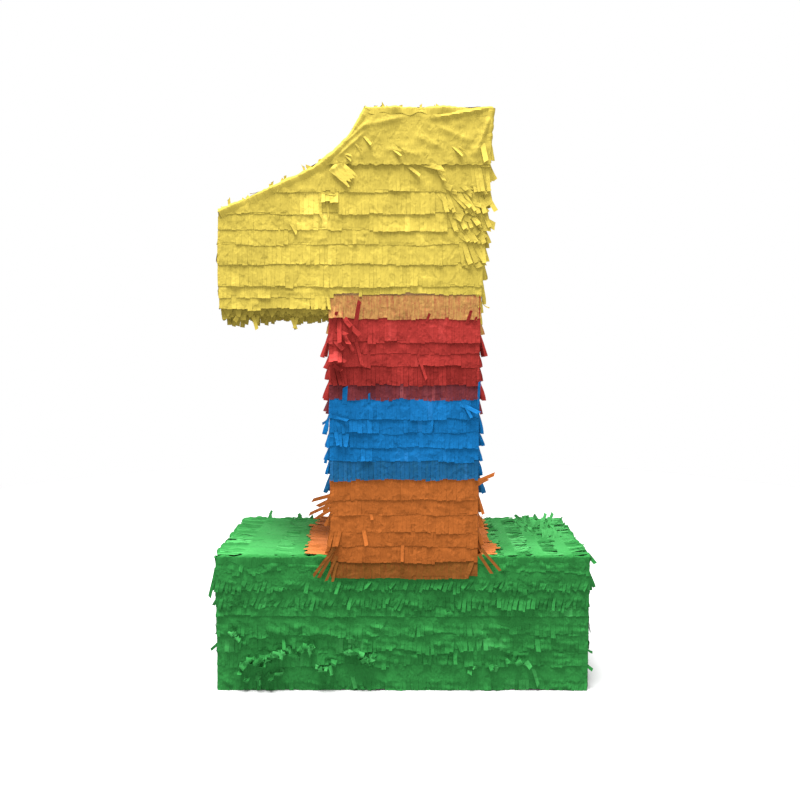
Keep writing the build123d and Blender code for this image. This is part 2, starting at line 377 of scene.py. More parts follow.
def finger_points(root, width, values, lowest):
    """Points of many fingers: (finger, step, left-middle-right, across-down-out).

    root is the middle of each finger's root. lowest(across, down) is the lowest allowed out value."""
    share = (np.arange(STEPS) + 1) / STEPS
    step = np.maximum(values["length"], 0.5)[:, None] / STEPS
    lift = np.radians(values["lift"][:, None] + values["curl"][:, None] * share**1.5)
    lift = np.maximum(lift, math.radians(LOWEST_LIFT))
    heading = values["sway"][:, None] * np.minimum(3 * share, 1) + values["bend"][:, None] * share
    heading = np.radians(heading + values["heading"][:, None])
    along = np.stack([np.sin(heading) * np.cos(lift), np.cos(heading) * np.cos(lift), np.sin(lift)], axis=-1)
    spine = root[:, None, :] + np.cumsum(along * step[..., None], axis=1)
    side = np.stack([np.cos(heading), -np.sin(heading), np.zeros_like(heading)], axis=-1)
    outward = -np.cross(side, along)
    twist = np.radians(values["twist"])[:, None] * share
    half = width[:, None] / 2 * (1 + (values["slim"][:, None] - 1) * np.minimum(3 * share, 1))
    reach = (side * np.cos(twist)[..., None] + outward * np.sin(twist)[..., None]) * half[..., None]
    points = np.stack([spine - reach, spine, spine + reach], axis=2)
    points[:, :, 1, :] += outward * (values["cup"][:, None] * width[:, None])[..., None]
    points[:, -1, 0, :] += along[:, -1] * values["skew"][:, None]
    points[:, -1, 2, :] -= along[:, -1] * values["skew"][:, None]
    points[..., 2] = np.maximum(points[..., 2], lowest(points[..., 0], points[..., 1]))
    start = root[:, None, None, 2]
    rise = points[..., 2] - start
    share = MOST_OUT / np.maximum(rise.max(axis=(1, 2)), MOST_OUT)[:, None, None]
    points[..., 2] = start + np.where(rise > 0, rise * share, rise)
    return points


HEADER_ROWS = 4
UNDERLAY_CELL = 5.0
# The paper under the fingers is darker: painted shade in the gaps between them.
UNDERLAY_PAINTED_SHADE = -0.6
UNDERLAY_BELOW = 0.22  # how much lower than the band the paper under it lies
ROOT_BELOW = 0.15
LEAST_HEADER = 0.6
LEAST_ROOM = 2.0  # columns with less paper than this are left out
# The least heights of the layers. They differ, so that no two layers share a plane.
LEAST_UNDERLAY_OUT = 0.13
LEAST_FINGER_OUT = 0.26
LEAST_BAND_OUT = 0.34


def fringe(mesh, number, wall, length, cut, style, tufts=(), start=None, end=None, lift_off=0.35, tone=0.0):
    """Adds one strip: an uncut band down to cut, then fingers down to length, and plain paper under both.

    start and end give, for each place across the wall, how far down the paper begins and ends."""
    rng = mesh.rng(number)
    count = max(2, round(wall.width / style.finger))
    widths = rng.uniform(0.75, 1.25, count)
    edges = np.concatenate([[0], np.cumsum(widths)]) / widths.sum() * wall.width - wall.width / 2
    widths = np.diff(edges)
    middles = (edges[:-1] + edges[1:]) / 2
    columns = np.empty(2 * count + 1)
    columns[0::2] = edges
    columns[1::2] = middles
    begin = np.zeros(len(columns)) if start is None else np.maximum(start(columns), 0)
    stop = np.full(len(columns), float(length)) if end is None else np.minimum(end(columns), length)
    root_down = np.maximum(cut, begin + LEAST_HEADER)
    at_edges = (stop - begin)[0::2]
    room = np.minimum(np.minimum(at_edges[:-1], at_edges[1:]), (stop - root_down)[1::2])
    keep = room > LEAST_ROOM
    if not keep.any():
        return
    offset = rng.uniform(0, 1000, 2)

    def surface(across, down, base):
        return base + style.stack * down + style.wrinkle * wall.crumple(across, down)

    def grid_of(down, base, least, painted_shade=0.0):
        across = np.broadcast_to(columns, down.shape)
        out = np.maximum(surface(across, down, base), least)
        local = np.stack([across, down, out], axis=-1)
        points = wall.world(local)
        shade = CLOUD_SHARE * CLOUDS(points) + tone + painted_shade
        return local, mesh.add(points, shade, local[..., :2] + offset)

    share = np.linspace(0, 1, HEADER_ROWS)[:, None]
    header, grid = grid_of(begin + (root_down - begin) * share, lift_off, LEAST_BAND_OUT)
    mesh.quads(grid, np.repeat(keep, 2))
    under_rows = max(3, round(length / UNDERLAY_CELL))
    share = np.linspace(0, 1, under_rows)[:, None]
    under_down = begin + np.maximum(stop - LEAST_ROOM - begin, 0.1) * share
    # The paper under the fingers is darkened as painted shade.
    under_grid = grid_of(under_down, lift_off - UNDERLAY_BELOW, LEAST_UNDERLAY_OUT, UNDERLAY_PAINTED_SHADE)[1]
    mesh.quads(under_grid, np.repeat(keep, 2))

    values = finger_values(rng, style, middles)
    values["length"] += (stop - root_down)[1::2]
    if style.facing:  # some fingers near the front edge turn their flat side to the front
        turned = (wall.width / 2 - middles * style.facing) < rng.uniform(4, 20, count)
        values["twist"] = np.where(turned, rng.uniform(55, 120, count) * style.facing, values["twist"])
        values["lift"] = np.where(turned, rng.uniform(5, 19, count), values["lift"])
    apply_tufts(rng, values, middles, tufts)
    values = {name: value[keep] for name, value in values.items()}
    root = header[-1, 1::2][keep]
    points = finger_points(root, widths[keep], values, lambda a, d: surface(a, d, lift_off - ROOT_BELOW))
    root_relief = wall.crumple(root[:, 0], root[:, 1])[:, None, None]
    relief = style.wrinkle * (wall.crumple(points[..., 0], points[..., 1]) - root_relief)
    points[..., 2] += np.maximum(relief, -0.5 * points[..., 2])
    points[..., 2] = np.maximum(points[..., 2], LEAST_FINGER_OUT)
    steps = np.arange(1, STEPS + 1)[None, :, None] / STEPS * values["length"][:, None, None]
    across = root[:, None, None, 0] + np.array([-0.5, 0, 0.5]) * widths[keep][:, None, None]
    grain = np.stack(np.broadcast_arrays(across, root[:, None, None, 1] + steps), axis=-1) + offset
    points = wall.world(points)
    finger_tone = values["tone"][:, None, None] + tone + CLOUD_SHARE * CLOUDS(points)
    numbers = mesh.add(points, finger_tone, grain)
    roots = np.stack([grid[-1, 0:-2:2], grid[-1, 1::2], grid[-1, 2::2]], axis=-1)[keep]
    mesh.finger_quads(np.concatenate([roots[:, None, :], numbers], axis=1))
    mesh.flat_area += float(((2 * stop[1::2] - 2 * begin[1::2] - 2) * widths)[keep].sum())


def ribbons(mesh, rng, wall, root, width, length, **changes):
    """Adds loose fingers of their own, each from a root point in the wall's directions."""
    root = np.atleast_2d(np.asarray(root, float))
    count = len(root)
    names = ("lift", "sway", "curl", "bend", "twist", "tone", "cup", "heading")
    values = {name: np.zeros(count) for name in names}
    values["slim"] = rng.uniform(0.65, 0.95, count)
    values["length"] = np.broadcast_to(np.asarray(length, float), (count,)).copy()
    values["skew"] = rng.normal(size=count) * 1.1
    for name, value in changes.items():
        values[name] = np.broadcast_to(np.asarray(value, float), (count,)).copy()
    width = np.broadcast_to(np.asarray(width, float), (count,))
    points = finger_points(root, width, values, lambda a, d: np.full_like(d, 0.4))
    heading = np.radians(values["heading"])
    side = np.stack([np.cos(heading), -np.sin(heading), np.zeros(count)], axis=-1)
    half = side * width[:, None] / 2
    roots = np.stack([root - half, root, root + half], axis=1)[:, None]
    points = np.concatenate([roots, points], axis=1)
    across = np.array([-0.5, 0, 0.5]) * width[:, None, None] + rng.uniform(0, 900, (count, 1, 1))
    down = np.arange(STEPS + 1)[None, :, None] / STEPS * values["length"][:, None, None]
    grain = np.stack(np.broadcast_arrays(across, down), axis=-1)
    mesh.finger_quads(mesh.add(wall.world(points), values["tone"][:, None, None], grain))
    mesh.flat_area += float((width * values["length"]).sum())


def ridge(across, down, start, end, width, height):
    """A crease from start to end, as a height that falls off over width on each side."""
    start = np.asarray(start, float)
    along = np.asarray(end, float) - start
    length = np.linalg.norm(along)
    along = along / length
    place = (across - start[0]) * along[0] + (down - start[1]) * along[1]
    distance = np.abs((across - start[0]) * along[1] - (down - start[1]) * along[0])
    ends = np.clip(np.minimum(place, length - place) / (0.25 * length), 0, 1)
    return height * ends * np.exp(-((distance / width) ** 1.3))


def plain_sheet(mesh, number, wall, length, start=None, end=None, creases=(), ragged=0.0, lift_off=0.5,
                wrinkle=0.8, stack=0.0, cell=1.6, tone=0.0, bow=0.0):
    """Adds an uncut sheet with wrinkles, down to length. bow lifts its middle."""
    rng = mesh.rng(number)
    columns = np.linspace(-wall.width / 2, wall.width / 2, max(3, round(wall.width / cell)))
    begin = np.zeros(len(columns)) if start is None else np.maximum(start(columns), 0)
    stop = np.full(len(columns), float(length)) if end is None else np.minimum(end(columns), length)
    edge = Field(rng, 12.0, 1)(columns[:, None]) + 0.5 * Field(rng, 3.5, 1)(columns[:, None])
    stop = stop + ragged * edge * (stop > begin)
    rows = max(3, round(length / cell))
    share = np.linspace(0, 1, rows)[:, None]
    down = begin + (stop - begin) * share
    across = np.broadcast_to(columns, down.shape)
    out = lift_off + stack * down + wrinkle * wall.crumple(across, down)
    out = out + bow * np.sin(math.pi * share) * np.cos(math.pi * columns / wall.width)
    for crease in creases:
        out = out + ridge(across, down, *crease)
    local = np.stack([across, down, np.maximum(out, 0.3)], axis=-1)
    points = wall.world(local)
    grid = mesh.add(points, CLOUD_SHARE * CLOUDS(points) + tone, local[..., :2] + rng.uniform(0, 1000, 2))
    kept = (stop - begin > 1.0)[:-1] & (stop - begin > 1.0)[1:]
    mesh.quads(grid, kept)
    mesh.flat_area += float(np.clip(stop - begin, 0, None).mean() * wall.width)


TURN_STEPS = 7


def roll(mesh, number, path, first, second, reach=5.0, off=0.9, rough=0.35, stack=0.0, ends=(0.5, 0.5),
         tone=0.3, tag=""):
    """A strip bent round an edge that follows path, from the face with normal first to second's.

    It reaches this far on to both faces, where it ends at the two heights in ends. off is its radius."""
    rng = mesh.rng(number, tag)
    path = np.asarray(path, float)
    first = np.broadcast_to(first, path.shape)
    second = np.broadcast_to(second, path.shape)
    lengths = np.concatenate([[0], np.cumsum(np.linalg.norm(np.diff(path, axis=0), axis=1))])
    grow = off + rough * Field(rng, 18.0)(path) + 0.5 * rough * Field(rng, 5.0)(path)
    grow = (np.maximum(grow, 0.45) + stack * lengths)[:, None]
    reach = reach * (1 + 0.22 * Field(rng, 22.0)(path))[:, None]
    rings = [first * ends[0] - second * reach, first * (grow + ends[0]) / 2 - second * reach * 0.45]
    for angle in np.linspace(0, math.pi / 2, TURN_STEPS):
        rings.append((first * math.cos(angle) + second * math.sin(angle)) * grow)
    rings += [second * (grow + ends[1]) / 2 - first * reach * 0.45, second * ends[1] - first * reach]
    points = path + np.array(rings)
    turn = np.cross(points[1, 0] - points[0, 0], points[0, 1] - points[0, 0]) @ (first[0] + second[0])
    if turn < 0:
        points = points[::-1]
    cross = np.linspace(0, 2 * reach.mean() + 2, len(rings))[:, None]
    grain = np.stack(np.broadcast_arrays(lengths[None, :], cross), axis=-1) + rng.uniform(0, 1000, 2)
    mesh.quads(mesh.add(points, CLOUD_SHARE * CLOUDS(points) + tone, grain))
    mesh.flat_area += float(lengths[-1] * (2 * reach.mean() + 1.5 * off))


def corner_cap(mesh, corner, first, second, third, radius):
    """A rounded patch over a corner where three edges meet."""
    corner, first, second, third = (np.asarray(v, float) for v in (corner, first, second, third))
    along = np.linspace(0.03, 1, 5)[:, None, None]
    round_it = np.linspace(0, 1, 5)[None, :, None]
    way = first * (1 - along) + (second * (1 - round_it) + third * round_it) * along
    way = way / np.linalg.norm(way, axis=-1, keepdims=True)
    numbers = mesh.add(corner + way * radius, 0.0, way[..., :2] * radius)
    mesh.quads(numbers)
    mesh.flat_area += 1.5 * radius**2


def line(start, end, step=2.5):
    """Points along a straight edge."""
    start, end = np.asarray(start, float), np.asarray(end, float)
    count = max(2, round(np.linalg.norm(end - start) / step))
    return start + np.linspace(0, 1, count)[:, None] * (end - start)


# ---------------------------------------------------------------- materials
def srgb(red, green, blue):
    """An sRGB colour from 0 to 255 as linear RGBA."""
    out = []
    for value in (red, green, blue):
        value /= 255
        out.append(value / 12.92 if value <= 0.04045 else ((value + 0.055) / 1.055) ** 2.4)
    return (*out, 1.0)


class Nodes:
    """Short calls for building one material's node tree."""

    def __init__(self, name):
        self.material = bpy.data.materials.new(name)
        self.material.use_nodes = True
        self.tree = self.material.node_tree
        self.shader = self.tree.nodes["Principled BSDF"]

    def node(self, kind, settings=None, **inputs):
        made = self.tree.nodes.new(kind)
        for name, value in (settings or {}).items():
            setattr(made, name, value)
        for name, value in inputs.items():
            self.set(made.inputs[name.replace("_", " ")], value)
        return made

    def set(self, socket, value):
        if isinstance(value, bpy.types.NodeSocket):
            self.tree.links.new(value, socket)
        else:
            socket.default_value = value

    def math(self, operation, *values, clamp=False):
        made = self.node("ShaderNodeMath", {"operation": operation, "use_clamp": clamp})
        for socket, value in zip(made.inputs, values):
            self.set(socket, value)
        return made.outputs[0]

    def mix(self, factor, first, second):
        made = self.node("ShaderNodeMix", {"data_type": "RGBA"})
        for number, value in ((0, factor), (6, first), (7, second)):
            self.set(made.inputs[number], value)
        return made.outputs[2]

    def noise(self, vector, stretch, detail=3.0, roughness=0.55, centred=True):
        """Noise whose vector is stretched. Centred noise runs from about -0.5 to 0.5."""
        scaled = self.node("ShaderNodeVectorMath", {"operation": "MULTIPLY"})
        self.set(scaled.inputs[0], vector)
        self.set(scaled.inputs[1], stretch)
        made = self.node("ShaderNodeTexNoise", None, Scale=1.0, Detail=detail, Roughness=roughness)
        self.set(made.inputs["Vector"], scaled.outputs[0])
        value = made.outputs["Fac"]
        return self.math("SUBTRACT", value, 0.5) if centred else value

    def spread(self, value, low, high):
        made = self.node("ShaderNodeMapRange", None, From_Min=low, From_Max=high, Value=value)
        return made.outputs["Result"]

    def finish(self, colour, roughness, specular, height, strength, distance):
        """Connects a surface and its bumps to the shader."""
        bump = self.node("ShaderNodeBump", None, Strength=strength, Distance=distance, Height=height)
        surface = (("Base Color", colour), ("Roughness", roughness), ("Specular IOR Level", specular))
        for name, value in (*surface, ("Normal", bump.outputs["Normal"])):
            self.set(self.shader.inputs[name], value)
        return self.material


def shaded(color, share, lift=0.0):
    """A colour made lighter or darker by share, then raised by lift."""
    return tuple(min(1.0, c * share + lift) for c in color[:3]) + (1.0,)


def tissue_material(name, color, under=None, under_share=0.0, contrast=1.0, relief=1.0):
    """Matte tissue paper. Where a second colour lies beneath, it shows through in streaks."""
    made = Nodes(name)
    tone = made.node("ShaderNodeAttribute", {"attribute_name": "tone"}).outputs["Fac"]
    grain = made.node("ShaderNodeAttribute", {"attribute_name": "grain"}).outputs["Vector"]
    fibre = made.noise(grain, (1.6, 0.16, 1.0), 4.0, 0.6)
    cloud = made.noise(grain, (0.045, 0.06, 1.0), 3.0, 0.6)
    blotch = made.noise(grain, (0.22, 0.22, 1.0), 4.0, 0.65)
    shade = made.math("MULTIPLY_ADD", tone, 0.075, 0.46)
    for part, amount in ((fibre, 0.8), (cloud, 0.32 * contrast), (blotch, 0.25 * contrast)):
        shade = made.math("MULTIPLY_ADD", part, amount, shade, clamp=part is blotch)
    colour = made.mix(shade, shaded(color, 0.6), shaded(color, 1.42, 0.004))
    # Above a tone of 1.5 the colour goes towards a pale copy: painted light, for the pieces given a high
    # tone.
    pale = made.math("MULTIPLY_ADD", tone, 0.2, -0.3, clamp=True)
    colour = made.mix(pale, colour, shaded(color, 2.0, 0.03))
    if under is not None:
        streak = made.noise(grain, (0.55, 0.05, 1.0), 4.0, 0.65)
        amount = made.math("MULTIPLY", made.spread(streak, -0.13, 0.15), under_share)
        mottle = made.spread(made.noise(grain, (0.3, 0.3, 1.0), 4.0, 0.7), -0.12, 0.16)
        amount = made.math("MULTIPLY", amount, made.math("MULTIPLY_ADD", mottle, 0.6, 0.4))
        colour = made.mix(amount, colour, under)
    roughness = made.math("MULTIPLY_ADD", fibre, 0.2, 0.8)
    crinkle = made.noise(grain, (0.12, 0.08, 1.0), 2.5, 0.5)
    ridges = made.math("ABSOLUTE", crinkle)
    height = made.math("MULTIPLY_ADD", ridges, -1.8, made.math("MULTIPLY", crinkle, 0.8))
    height = made.math("MULTIPLY_ADD", blotch, 0.2, height)
    height = made.math("MULTIPLY_ADD", fibre, 0.1, height)
    return made.finish(colour, roughness, 0.06, height, strength=0.9, distance=0.0014 * relief)


def board_material():
    """Brown corrugated cardboard, with faint flutes and pale fibres."""
    made = Nodes("kraft_board")
    place = made.node("ShaderNodeTexCoord").outputs["Object"]
    speck = made.noise(place, (900.0, 900.0, 900.0), 4.0, 0.7, centred=False)
    cloud = made.noise(place, (28.0, 28.0, 28.0), 4.0, 0.6, centred=False)
    flute = made.node("ShaderNodeTexWave", {"bands_direction": "X"}, Scale=70.0, Distortion=0.6)
    made.set(flute.inputs["Vector"], place)
    amount = made.math("ADD", made.math("MULTIPLY", cloud, 0.6), made.math("MULTIPLY", speck, 0.4))
    colour = made.mix(amount, srgb(118, 86, 54), srgb(164, 128, 88))
    height = made.math("MULTIPLY_ADD", flute.outputs["Fac"], 0.6, made.math("MULTIPLY", speck, 0.5))
    return made.finish(colour, 0.88, 0.2, height, strength=0.25, distance=0.0006)


COLORS = {
    "yellow_tissue": dict(color=srgb(162, 144, 59), contrast=0.5, relief=0.8),
    "yellow_over_red_tissue": dict(
        color=srgb(152, 117, 63), under=srgb(124, 54, 42), under_share=1.0, contrast=2.2),
    "red_tissue": dict(color=srgb(126, 34, 30)),
    "red_over_blue_tissue": dict(color=srgb(90, 32, 34), under=srgb(60, 34, 48), under_share=0.5),
    "blue_tissue": dict(color=srgb(2, 80, 130)),
    "blue_over_orange_tissue": dict(color=srgb(6, 66, 106), under=srgb(28, 68, 76), under_share=0.5),
    "orange_tissue": dict(color=srgb(134, 72, 26)),
    "orange_over_green_tissue": dict(color=srgb(106, 58, 20), under=srgb(80, 62, 18), under_share=0.6),
    "green_tissue": dict(color=srgb(31, 99, 43), contrast=1.3, relief=1.5),
}
MATERIALS = {slot: tissue_material(slot, **look) for slot, look in COLORS.items()}
KRAFT = board_material()
SLOT_OF = {part["node"]: part["material_slot"] for part in frame["record"]["subparts"]}

# ---------------------------------------------------------------- where the strips go
OVERLAP = 12.0  # how far a strip goes up behind the one above
CUT = 9.0  # uncut band at a strip's upper end
TOP_FLAP_CUT = 4.0
CAD_LAP = 8.0  # the CAD strips' own overlap
SIDE_DROP = 14.0  # how much lower the rows lie on the sides
LEAST_STRIP = 7.0
FRONT_OVERHANG = 1.6

FRONT_STYLE = Style(stray=0.005)
THIN_STYLE = Style(stray=0.004, slim=0.94, tone_spread=1.3, ragged=0.5, sway_spread=0.7)
BACK_STYLE = Style(lift=3.0, lift_spread=2.4, sway_spread=1.0, stray=0.03, curl_spread=7.0)
SIDE_STYLE = Style(
    clump=4.0, lift=5.5, lift_spread=2.6, curl=-1.0, curl_spread=3.0, sway_spread=1.5, stray=0.015,
    ragged=0.4, clump_ragged=0.9, slim=0.95,
)
CALM_SIDE_STYLE = Style(lift=1.4, lift_spread=1.0, curl_spread=4.0, wrinkle=1.2, clump_ragged=0.9)
RIGHT_SIDE_STYLE = SIDE_STYLE.but(facing=-1.0)
LEFT_SIDE_STYLE = SIDE_STYLE.but(facing=1.0)
GREEN_STYLE = Style(
    lift=2.4, lift_spread=2.4, wrinkle=1.8, wave=1.3, sway_spread=1.2, ragged=0.5, clump_ragged=0.9,
    stray=0.03, curl_spread=10.0, slim=0.97,
)
FLAT_GREEN_STYLE = GREEN_STYLE.but(stray=0.0, curl_spread=4.0, wave=0.8)
SLANTED_STYLE = Style(
    lift=5.0, lift_spread=4.5, sway=-17.0, sway_spread=11.0, slim=0.84, stray=0.04, ragged=1.3,
    clump_ragged=1.3, wrinkle=1.8, curl_spread=12.0, twist_spread=12.0, clump=2.2, curl=0.0,
    tone_spread=0.9, stack=0.05,
)
LEFT_TOP_STYLE = Style(
    lift=1.2, wrinkle=1.5, curl_spread=3.0, clump_ragged=0.8, slim=1.0, tone_spread=1.2, stray=0.0,
)
RIGHT_TOP_STYLE = Style(
    lift=4.0, lift_spread=3.0, wrinkle=1.2, slim=0.86, sway_spread=7.0, curl_spread=9.0, stray=0.05,
    ragged=1.8, tone_spread=2.0,
)

# A wall on which a place on the front is X and minus Z
FRONT_FACE = Wall((0, FRONT, 0), DOWN, NEAR, 1)


def front_wall(left, right, top):
    return Wall(((left + right) / 2, FRONT, top), DOWN, NEAR, right - left + FRONT_OVERHANG)


def back_wall(left, right, top):
    return Wall(((left + right) / 2, BACK, top), DOWN, AWAY, right - left + FRONT_OVERHANG)


def side_wall(edge, top, low, side):
    """A wall that faces along X, under the edge function's X at each height."""
    down = unit((float(edge(low)) - float(edge(top)), 0, low - top))
    return Wall((float(edge(top)), 0, top), down, np.array([-down[2], 0, down[0]]) * side, DEPTH)


def lying_wall(x, side):
    """A strip on the base's top face, whose fingers point outwards from the stem."""
    return Wall((x, 0, SHOULDER), (side, 0, 0), UP, DEPTH)


def row_height(node):
    """Upper end of the strip behind the row above, its lower edge and its whole length."""
    low, high = span(node)
    top = high[2] + OVERLAP - CAD_LAP
    return top, low[2], top - low[2]


def side_strip(mesh, number, edge, top, low, side, tufts=(), calm=False, tone=0.0):
    """One strip on a side wall, if there is room for it."""
    if top - low < LEAST_STRIP:
        return
    style = CALM_SIDE_STYLE if calm else RIGHT_SIDE_STYLE if side > 0 else LEFT_SIDE_STYLE
    wall = side_wall(edge, top, low, side)
    fringe(mesh, number, wall, top - low, min(CUT, (top - low) / 3), style, tufts, tone=tone)


def corner_rolls(mesh, left_edge, right_edge_at, top, low, tag=""):
    """Paper bent round the four upright corners of a row."""
    heights = line((0, 0, top), (0, 0, low + 1.0))[:, 2]
    for number, (edge, side) in enumerate(((left_edge, LEFT), (right_edge_at, RIGHT))):
        if edge is None:
            continue
        for y, face in FACES:
            x = np.broadcast_to(edge(heights), heights.shape)
            path = np.stack([x, np.full_like(heights, y), heights], -1)
            roll(mesh, 20 + number * 2 + (y > 0), path, face, side, reach=4.0, off=0.6, rough=0.15,
                 stack=0.035, ends=(0.2, 0.2), tag=tag)


def finish_piece(mesh, body):
    """Makes the object of a row, which stands for its CAD node, puts it on the body and hides the node."""
    node = mesh.node
    piece = mesh.build(node + "_tissue", MATERIALS[SLOT_OF[node]])
    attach(piece, body)
    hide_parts(node)


def slope_start(middle, direction, top):
    """Strips on the flag begin at the slope's edge."""
    return lambda across: top - SLOPE.height(middle + direction * across) + 0.3


def flag_row(node, tufts=(), extras=None, stem_low=None, raised=None):
    """One row round the flag. Over the stem its front ends at stem_low, where that is given.

    Outside the two X of raised, the front's fingers are pressed flat on the row below."""
    mesh = PaperMesh(node)
    top, low, length = row_height(node)
    left = float(tip_edge(min((top + low) / 2, TIP_TOP[1])))
    right = float(right_edge((top + low) / 2))
    middle = (left + right) / 2
    front = slope_start(middle, 1, top)
    behind = slope_start(middle, -1, top)

    def behind_and_below_flap(across):
        x = middle - across
        crosses = (x > FLAP_LOW[0] - FLAP_GAP) & (x < FLAP_HIGH[0] + FLAP_GAP)
        crosses &= low < FLAP_HIGH[2]
        return np.maximum(behind(across), np.where(crosses, top - (FLAP_LOW[2] - FLAP_GAP), 0))

    def end(across):
        over_stem = across + middle > STEM_LEFT + 2
        return np.where(over_stem & (stem_low is not None), top - (stem_low or low), length)

    if raised:
        pressed = dict(lift=0.0, curl=-5.0)
        sides = ((left - 5, raised[0]), (raised[1], right + 5))
        tufts = [Tuft((a + b) / 2, b - a, **pressed) for a, b in sides] + list(tufts)
    moved = [Tuft(t.at - middle, t.width, **t.changes) for t in tufts]
    wall = front_wall(left, right, top)
    fringe(mesh, 1, wall, length, CUT, FRONT_STYLE, moved, start=front, end=end)
    wall = back_wall(left, right, top)
    fringe(mesh, 2, wall, length, CUT, BACK_STYLE, start=behind_and_below_flap)
    side_strip(mesh, 3, right_edge, top - SIDE_DROP, low - SIDE_DROP, 1)
    tip_top = min(top, TIP_TOP[1] - 1)
    side_strip(mesh, 4, tip_edge, tip_top, low, -1, calm=True)
    corner_rolls(mesh, None, right_edge, top, low)
    if tip_top - low > LEAST_STRIP:
        corner_rolls(mesh, tip_edge, None, tip_top, low, "_tip")
    if extras:
        extras(mesh, mesh.rng(9))
    finish_piece(mesh, "shell")


def stem_row(node, tufts=(), extras=None, tone=0.0, style=None):
    """One row round the stem. The lowest ones lap over the base's front and back."""
    mesh = PaperMesh(node)
    top, low, length = row_height(node)
    right = float(right_edge(top))
    middle = (STEM_LEFT + right) / 2
    moved = [Tuft(t.at - middle, t.width, **t.changes) for t in tufts]
    wall = front_wall(STEM_LEFT, right, top)
    fringe(mesh, 1, wall, length, CUT, style or FRONT_STYLE, moved, tone=tone)
    behind = BACK_STYLE.but(stack=(style or BACK_STYLE).stack)
    fringe(mesh, 2, back_wall(STEM_LEFT, right, top), length, CUT, behind, tone=tone)
    bottom = SHOULDER + 2
    side_strip(mesh, 3, right_edge, top - SIDE_DROP, max(low - SIDE_DROP, bottom), 1)
    left_top = min(top - SIDE_DROP, UNDER - 2)
    side_strip(mesh, 4, lambda z: STEM_LEFT, left_top, max(low - SIDE_DROP, bottom), -1)
    if low > SHOULDER:
        corner_rolls(mesh, lambda z: STEM_LEFT + 0 * z, None, min(top, UNDER - 1), low)
        corner_rolls(mesh, None, right_edge, top, low)
    if extras:
        extras(mesh, mesh.rng(9))
    finish_piece(mesh, "shell")


def base_row(node, style, tufts=(), extras=None, overrun=0.0, calm_sides=True, start=None, fingers=None,
             tone=0.0):
    """One row round the base. overrun is extra length, which the floor flattens, and fingers is the
    length of the fingers where only their ends are cut."""
    mesh = PaperMesh(node)
    top, low, _ = row_height(node)
    top = min(top, SHOULDER)
    length = top - low + overrun
    cut = length - fingers if fingers else min(CUT, length / 3)
    fringe(mesh, 1, front_wall(-BASE_X, BASE_X, top), length, cut, style, tufts, start=start,
           tone=tone)
    fringe(mesh, 2, back_wall(-BASE_X, BASE_X, top), length, cut, style)
    for side in (-1, 1):
        side_strip(mesh, 4 + side, lambda z, s=side: s * BASE_X, top, low, side, calm=calm_sides)
    corner_rolls(mesh, lambda z: -BASE_X + 0 * z, lambda z: BASE_X + 0 * z, top, low)
    if extras:
        extras(mesh, mesh.rng(9))
    finish_piece(mesh, "shell")


def on_front(items, depth=1.3, calm=1.0):
    """Extras for a row: loose fingers on the front, each given from its root's X and Z to its tip's.

    An item is (x, z, tip x, tip z, width, lift, curl, twist, tone). calm scales lift, curl and twist."""
    table = np.array(items, float)
    table[:, 5:8] *= calm

    def add(mesh, rng):
        run = table[:, 2:4] - table[:, 0:2]
        root = np.stack([table[:, 0], -table[:, 1], np.full(len(table), depth)], axis=-1)
        # Tones below 1.3 are lowered by 1.1: painted shade that cancels the extra light the raised fingers
        # catch.
        ribbons(
            mesh, rng, FRONT_FACE, root, 0.85 * table[:, 4], np.hypot(run[:, 0], run[:, 1]),
            heading=np.degrees(np.arctan2(run[:, 0], -run[:, 1])), lift=table[:, 5], curl=table[:, 6],
            twist=table[:, 7], tone=table[:, 8] - np.where(table[:, 8] < 1.3, 1.1, 0),
        )

    return add


FLAT = 0.5  # for calm


def low_scales(left, right, top, low, count):
    """Extras for a row of the flag: short wide fingers that lie slanted and curl up a little."""

    def add(mesh, rng):
        x = rng.uniform(left, right, count)
        z = rng.uniform(low, top, count)
        order = np.argsort(z)
        x, z = x[order], z[order]
        depth = 1.0 + 0.8 * np.arange(count) / count
        ribbons(
            mesh, rng, FRONT_FACE, np.stack([x, -z, depth], -1), rng.uniform(5.0, 8.0, count),
            rng.uniform(6, 10, count), heading=rng.normal(size=count) * 14 + 54,
            lift=rng.uniform(0, 3, count), curl=rng.uniform(3, 15, count),
            twist=rng.normal(size=count) * 6, tone=rng.uniform(-1.6, -0.5, count),
        )

    return add


def rolled_up(chains):
    """Extras for a row of the base: chains of fingers that have rolled up into small lumps. Their pale tone
    is a painted highlight on the rolls' tops.

    A chain is the X and Z of its start, those of its end, and how many fingers it has."""

    def add(mesh, rng):
        for start, end, count in chains:
            share = (np.arange(count) + rng.uniform(0.1, 0.9, count)) / count
            x = start[0] + share * (end[0] - start[0])
            z = start[1] + share * (end[1] - start[1]) + rng.normal(size=count) * 1.6
            ribbons(
                mesh, rng, FRONT_FACE, np.stack([x, -z, np.full(count, 2.4)], -1),
                rng.uniform(4.5, 7.5, count), rng.uniform(9, 16, count),
                heading=rng.normal(size=count) * 40, lift=rng.uniform(5, 40, count),
                curl=rng.uniform(90, 230, count), twist=rng.normal(size=count) * 30,
                # pale tone: painted highlight on the tops of the rolls
                tone=rng.uniform(1.0, 3.6, count),
            )

    return add


